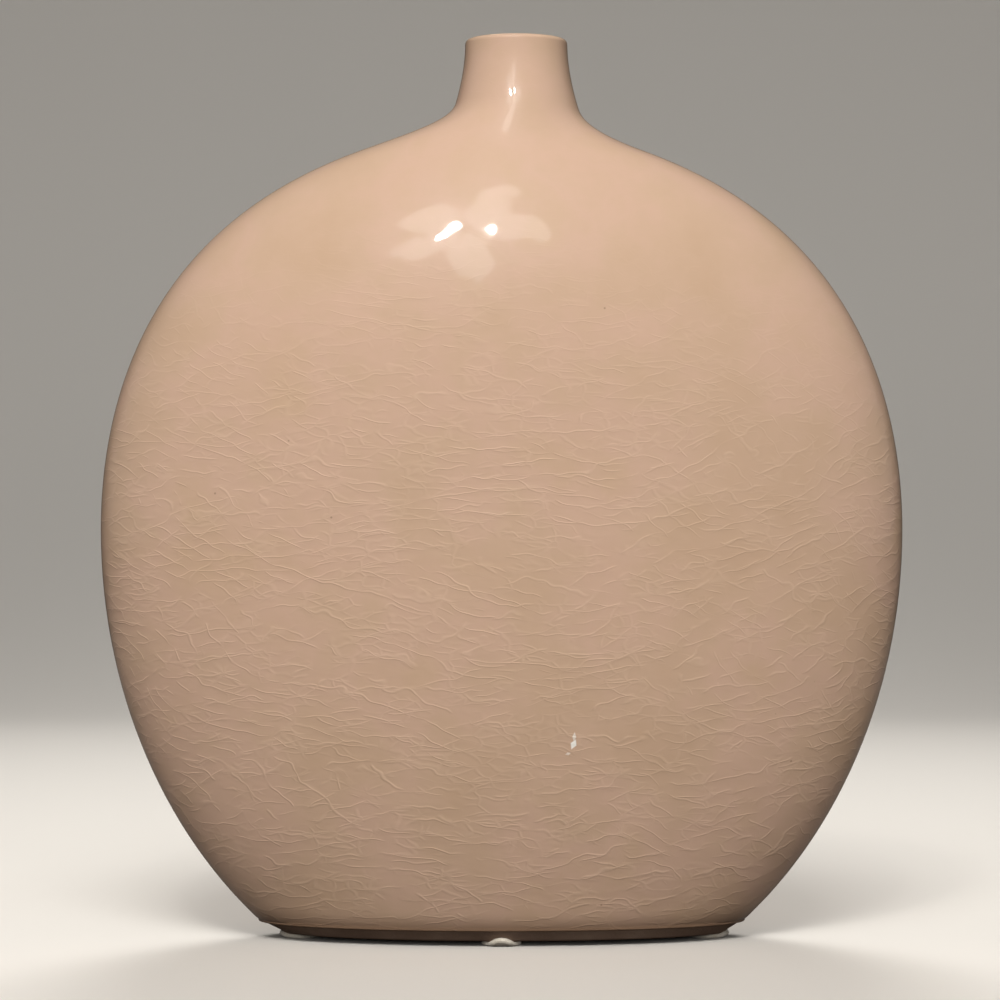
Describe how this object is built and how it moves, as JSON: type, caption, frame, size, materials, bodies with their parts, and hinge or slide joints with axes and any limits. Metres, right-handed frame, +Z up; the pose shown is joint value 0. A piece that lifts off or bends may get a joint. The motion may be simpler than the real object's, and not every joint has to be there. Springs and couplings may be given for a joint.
{
  "type": "pillow vase",
  "caption": "Flattened round pillow vase with a short neck, a cream crackle glaze, a bare bevelled foot and felt pads under the foot ring.",
  "frame": {"origin": "centre of the bounding box on the surface that the felt pads stand on", "axes": "+Z up, +X to the viewer's right, the flat face of the vase looks along -Y"},
  "size_m": [0.254, 0.09, 0.2842],
  "materials": {
    "bare_clay": "matte",
    "crackle_glaze": "satin",
    "liner_glaze": "gloss",
    "white_felt": "matte",
    "adhesive_film": "matte"
  },
  "bodies": {
    "root": {"clay_body": "bare_clay", "outside_glaze": "crackle_glaze", "inside_glaze": "liner_glaze", "recess_glaze": "liner_glaze", "felt_pad_front": "white_felt", "pad_adhesive_front": "adhesive_film", "felt_pad_rear": "white_felt", "pad_adhesive_rear": "adhesive_film", "felt_pad_left": "white_felt", "pad_adhesive_left": "adhesive_film", "felt_pad_right": "white_felt", "pad_adhesive_right": "adhesive_film"}
  },
  "joints": []
}
